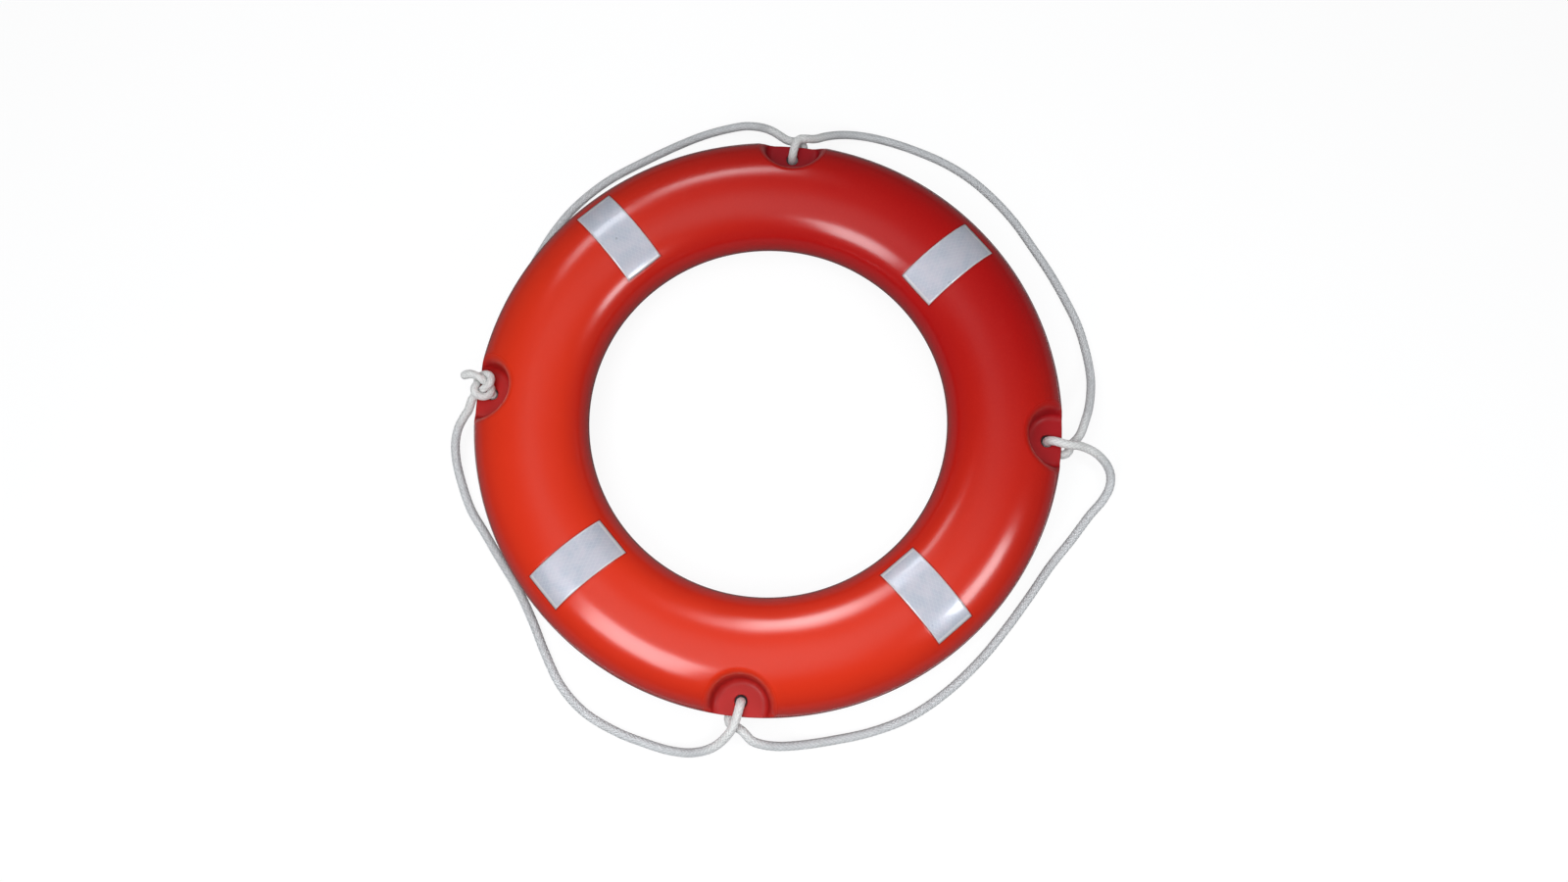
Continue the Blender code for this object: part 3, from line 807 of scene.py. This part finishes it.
def make_orange_plastic():
    """Moulded polyethylene, faintly wavy, scuffed, with a parting line. Its colour holds painted light
    and shade: one side paler, darker flanks, a dark line round the tapes and darker pockets.
    """
    look = Finish("orange_plastic")
    place, (x, y, z) = look.place()
    # Painted light and shade: the ring is paler towards one side and a deeper red on the other, with
    # random patches on top
    painted_light_side = (x * 0.64 + y * 0.77).ramp(0.36, -0.18)
    patches = look.noise(place, 5.0, detail=2.0)
    speckle = look.noise(place, 420.0, detail=2.0)
    shaded_side_red = (0.44, 0.0008, 0.0020)
    lit_side_red = (0.72, 0.031, 0.0065)
    colour = look.blend(painted_light_side * 0.94 + patches * 0.2 - 0.08, shaded_side_red, lit_side_red)
    # Painted shade: darker towards the ring's middle height, on its flanks and the notch webs
    colour = look.blend(abs(z - MID_HEIGHT).ramp(0.047, 0.016) * 0.45, colour, (0.50, 0.004, 0.012))
    colour = look.blend(speckle.ramp(0.35, 0.75) * 0.05, colour, (0.80, 0.05, 0.02))
    along = (abs(x) + abs(y)) * math.sqrt(0.5)
    aside = abs(abs(x) - abs(y)) * math.sqrt(0.5)
    middle = CROWN_RADIUS + (TAPE_OUTER_REACH - TAPE_INNER_REACH) / 2
    half_length = (TAPE_OUTER_REACH + TAPE_INNER_REACH) / 2
    outside = (abs(along - middle) - half_length).high(aside - TAPE_WIDTH / 2)
    # Painted shade: a dark line just outside each tape, as the shaded edge of its bed; the same mask
    # also sinks a groove in the bump
    groove = outside.ramp(2.2 * MM, 0.6 * MM) * abs(z - MID_HEIGHT).over(0.028)
    colour = look.blend(groove * 0.55, colour, (0.20, 0.006, 0.006))
    inside = look.length(look.vector(abs(x).high(abs(y)) - NOTCH_RADIUS, abs(x).low(abs(y)), 0.0))
    notch = inside.ramp(0.047, 0.038)
    pocket = inside.ramp(0.040, 0.034) * abs(z - MID_HEIGHT).ramp(0.044, 0.018)
    # Painted shade in the notch pockets, darker towards the top notch
    colour = look.blend(pocket * (y.ramp(-0.10, 0.34) * 0.35 + 0.50), colour, (0.30, 0.002, 0.008))
    scuffs = look.noise(place, 34.0, detail=6.0, roughness=0.75, distortion=0.6).ramp(0.58, 0.80)
    colour = look.blend(scuffs * 0.05, colour, (0.78, 0.10, 0.06))
    roughness = 0.18 + patches * 0.05 + scuffs * 0.05 + speckle * 0.03 + notch * 0.12 + pocket * 0.2
    seam = abs(z - MID_HEIGHT).ramp(0.9 * MM, 0.3 * MM)
    peel = look.noise(place, 190.0, detail=2.0)
    waves = look.noise(place, 13.0, detail=1.0)
    normal = look.bump(waves, 1.6 * MM)
    normal = look.bump(peel, 0.05 * MM, under=normal)
    normal = look.bump(seam - groove * 0.8, 0.25 * MM, under=normal)
    return look.finish(
        Base_Color=colour, Roughness=roughness, Normal=normal, IOR=1.45, Coat_Weight=1.0 - notch * 0.85,
        Coat_Roughness=0.18)


def make_reflective_film():
    """Silver-grey film of small sealed cells, with a paler sealed border."""
    look = Finish("reflective_film")
    place, _ = look.place()
    across, along = look.mapped("tape")
    edge = (abs(across) - TAPE_WIDTH / 2).high(abs(along) - TAPE_BEND_RADIUS * TAPE_BORDER_ARC)
    first = (across + along * TAPE_CELL_SLOPE) / TAPE_CELL
    second = (across - along * TAPE_CELL_SLOPE) / TAPE_CELL
    lines = abs(first % 1 - 0.5).high(abs(second % 1 - 0.5)).ramp(0.40, 0.48)
    tint = look.random(first.floor() + second.floor() * 13.7)
    mottle = look.noise(place, 70.0, detail=2.0)
    colour = look.blend(mottle.ramp(0.3, 0.7), (0.55, 0.58, 0.67), (0.66, 0.64, 0.72))
    colour = look.blend(tint * 0.25, colour, (0.62, 0.66, 0.71))
    colour = look.blend(lines * 0.45, colour, (0.74, 0.76, 0.80))
    border = edge.ramp(-TAPE_BORDER, -TAPE_BORDER * 0.6)
    colour = look.blend(border, colour, (0.80, 0.78, 0.80))
    grime = look.noise(place, 30.0, detail=5.0, roughness=0.65).ramp(0.55, 0.85)
    colour = look.blend(grime * 0.1, colour, (0.34, 0.33, 0.34))
    roughness = 0.24 + mottle * 0.12 + grime * 0.2
    normal = look.bump(lines + border, 0.06 * MM)
    return look.finish(
        Base_Color=colour, Roughness=roughness, Normal=normal, Metallic=0.25, Coat_Weight=1.0,
        Coat_Roughness=0.08)


def make_rope_fibre():
    """Braided polypropylene: pale strands of fine yarns, with painted shade in the grooves between
    strands and between yarns.
    """
    look = Finish("rope_fibre")
    place, (_, _, z) = look.place()
    around, along = look.mapped("rope")
    first = around * BRAID_STRANDS + along / BRAID_PITCH
    second = around * BRAID_STRANDS - along / BRAID_PITCH
    step = (first.floor() + second.floor()) % 4
    under = step.over(1.5)
    across = (first % 1) * (1 - under) + (second % 1) * under
    strand = first.floor() * (1 - under) + (second.floor() + 50.0) * under
    height = (across * math.pi).sine()
    yarns = (across * math.tau * 4).sine() * 0.5 + 0.5
    wear = look.noise(place, 22.0, detail=4.0, roughness=0.6)
    fuzz = look.noise(place, 900.0, detail=2.0)
    shade = look.random(strand) * 0.6 + fuzz * 0.3
    colour = look.blend(shade, (0.62, 0.635, 0.64), (0.76, 0.775, 0.78))
    # Painted light: the rope is paler higher up, towards the webs
    colour = look.blend(z.ramp(0.030, 0.056) * 0.85, colour, (0.84, 0.84, 0.81))
    # Painted shade in the braid's grooves and between its yarns
    colour = look.blend((1 - height.ramp(0.0, 0.7)) * 0.45, colour, (0.36, 0.36, 0.36))
    colour = look.blend(yarns * 0.12, colour, (0.42, 0.42, 0.42))
    colour = look.blend(wear.ramp(0.5, 0.85) * 0.25, colour, (0.54, 0.52, 0.48))
    normal = look.bump(height * 0.6 + yarns * 0.25 + fuzz * 0.3, 0.35 * MM)
    return look.finish(Base_Color=colour, Roughness=0.62 + fuzz * 0.2, Normal=normal, Sheen_Weight=0.6)


def make_plug_plastic():
    """Plain moulded plastic with a little grit."""
    look = Finish("plug_plastic")
    place, _ = look.place()
    mottle = look.noise(place, 160.0, detail=4.0)
    grit = look.noise(place, 900.0, detail=2.0)
    colour = look.blend(mottle, (0.52, 0.020, 0.014), (0.64, 0.040, 0.022))
    normal = look.bump(grit, 0.06 * MM)
    return look.finish(Base_Color=colour, Roughness=0.38 + mottle * 0.16, Normal=normal)


def make_foam():
    """Closed-cell foam inside the skin."""
    look = Finish("buoyant_foam")
    place, _ = look.place()
    cells = look.cells(place, 620.0)
    patches = look.noise(place, 14.0, detail=3.0)
    colour = look.blend(patches, (0.80, 0.68, 0.40), (0.88, 0.80, 0.56))
    colour = look.blend(cells.ramp(0.35, 0.0) * 0.4, colour, (0.55, 0.43, 0.22))
    normal = look.bump(cells, 0.4 * MM)
    return look.finish(Base_Color=colour, Roughness=0.85 + patches * 0.1, Normal=normal)


def add_camera():
    """The camera at the photograph's viewing angle."""
    right = CAMERA_LOOK.cross(CAMERA_UP).normalized()
    up = right.cross(CAMERA_LOOK).normalized()
    lens = bpy.data.cameras.new("camera")
    lens.lens = CAMERA_LENS
    lens.sensor_width = 36.0
    camera = bpy.data.objects.new("camera", lens)
    turn = Matrix((right, up, -CAMERA_LOOK.normalized())).transposed()
    camera.matrix_world = Matrix.Translation(CAMERA_PLACE) @ turn.to_4x4()
    bpy.context.scene.collection.objects.link(camera)
    bpy.context.scene.camera = camera


def add_softbox(name, place, width, depth, power, aim=(0, 0, 0)):
    """A softbox aimed at the ring's middle or at another point, with its width level."""
    lamp = bpy.data.lights.new(name, "AREA")
    lamp.shape = "RECTANGLE"
    lamp.size = width
    lamp.size_y = depth
    lamp.energy = power
    lamp.color = (0.95, 0.97, 1.0)
    softbox = bpy.data.objects.new(name, lamp)
    away = (Vector(place) - Vector(aim)).normalized()
    level = Vector((-away.y, away.x, 0)).normalized() if away.z < 0.999 else Vector((1, 0, 0))
    facing = Matrix((level, away.cross(level), away)).transposed()
    softbox.matrix_world = Matrix.Translation(place) @ facing.to_4x4()
    softbox.visible_camera = False
    bpy.context.scene.collection.objects.link(softbox)
    return softbox


def add_world():
    """Plain light from all round, and a white background for the camera."""
    world = bpy.data.worlds.new("studio")
    bpy.context.scene.world = world
    world.use_nodes = True
    tree = world.node_tree
    background = tree.nodes["Background"]
    background.inputs["Color"].default_value = (0.98, 0.985, 1.0, 1.0)
    seen = tree.nodes.new("ShaderNodeLightPath")
    level = tree.nodes.new("ShaderNodeMapRange")
    level.inputs["To Min"].default_value = ROOM_LIGHT
    level.inputs["To Max"].default_value = BACKGROUND_WHITE
    tree.links.new(seen.outputs["Is Camera Ray"], level.inputs["Value"])
    tree.links.new(level.outputs["Result"], background.inputs["Strength"])


def add_floor():
    """A grey floor that keeps the shadow, lifted to white where the camera sees it beside the ring;
    under the ring it stays grey as a painted shadow.
    """
    bm = bmesh.new()
    bmesh.ops.create_grid(bm, x_segments=1, y_segments=1, size=30)
    floor = bpy.data.objects.new("floor", mesh_of("floor", bm, smooth=False))
    bpy.context.scene.collection.objects.link(floor)
    look = Finish("white_floor")
    seen = look.node("ShaderNodeLightPath", output="Is Camera Ray")
    _, (x, y, _) = look.place()
    across = abs(look.length(look.vector(x - PAINTED_SHADOW_OFFSET.x, y - PAINTED_SHADOW_OFFSET.y, 0.0)) - PAINTED_SHADOW_RADIUS)
    grey = (FLOOR_PAPER, FLOOR_PAPER, FLOOR_PAPER, 1.0)
    paper = look.node("ShaderNodeBsdfDiffuse", inputs={"Color": grey})
    white = (1.0, 1.0, 1.0, 1.0)
    glow = look.node("ShaderNodeEmission", inputs={"Color": white, "Strength": FLOOR_GLOW})
    lifted = look.node("ShaderNodeAddShader", inputs={0: paper, 1: glow})
    # Painted shadow: the floor is not lifted round the ring's footprint
    share = seen * across.ramp(*PAINTED_SHADOW_EDGE)
    both = look.node("ShaderNodeMixShader", inputs={0: share, 1: paper, 2: lifted})
    output = look.tree.nodes["Material Output"]
    look.tree.links.new(both.socket, output.inputs["Surface"])
    look.tree.nodes.remove(look.shader)
    floor.data.materials.append(look.material)


add_camera()
orange_plastic = make_orange_plastic()
reflective_film = make_reflective_film()
rope_fibre = make_rope_fibre()
plug_plastic = make_plug_plastic()
build_grab_line()
build_ring()
build_plug("fill_plug", FILL_PORT)
build_plug("vent_plug", VENT_PORT)
build_tapes()
foam_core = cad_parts["foam_core"]
foam_core.data.materials.clear()
foam_core.data.materials.append(make_foam())

add_world()
add_floor()

# Two broad lamps that light the ring without showing in its gloss, and four whose reflections show
key_softbox = add_softbox("key_softbox", (-0.15, -0.42, 2.15), 1.6, 1.6, 25)
top_softbox = add_softbox("top_softbox", (0, 0, 2.2), 3.0, 3.0, 14.5)
for softbox in (key_softbox, top_softbox):
    softbox.visible_glossy = False
add_softbox("front_left_softbox", (-0.716, -1.135, 1.458), 0.74, 0.80, 10.2)
add_softbox("back_left_softbox", (-0.680, 0.825, 1.046), 0.28, 0.24, 0.72)
add_softbox("right_softbox", (1.129, -0.50, 0.993), 0.50, 0.36, 3.9)
back_softbox = add_softbox(
    "back_softbox", (-0.24, 0.845, 1.075), 0.44, 0.62, 0.28, aim=(0.05, -0.38, 0.1))
back_softbox.data.spread = math.radians(37)
bpy.context.scene.view_settings.view_transform = "Standard"
